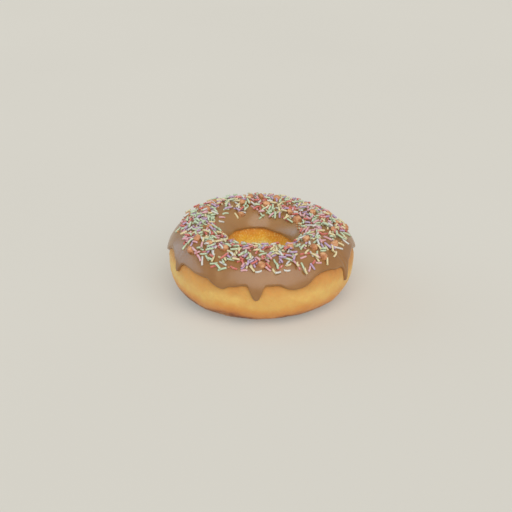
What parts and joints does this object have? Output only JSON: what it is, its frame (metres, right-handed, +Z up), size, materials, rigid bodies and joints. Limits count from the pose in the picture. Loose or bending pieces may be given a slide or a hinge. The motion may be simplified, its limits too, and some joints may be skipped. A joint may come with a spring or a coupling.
{
  "type": "frosted ring doughnut with sprinkles",
  "caption": "Ring doughnut with a golden fried crust, a chocolate frosting skin that drips over its shoulders, coloured sugar strands and small toffee nuggets.",
  "frame": {"origin": "centre of the ring at the height of its flat base", "axes": "+Z up through the hole, -Y to the front where the longest drip of frosting hangs, +X to the right seen from the front"},
  "size_m": [0.0936, 0.0945, 0.0356],
  "materials": {
    "crust": "golden fried crust, dry and finely pored, browner at the base",
    "frosting": "set milk chocolate frosting, smooth, with a soft gloss"
  },
  "bodies": {
    "root": {"dough": "crust", "frosting": "frosting"}
  },
  "joints": []
}
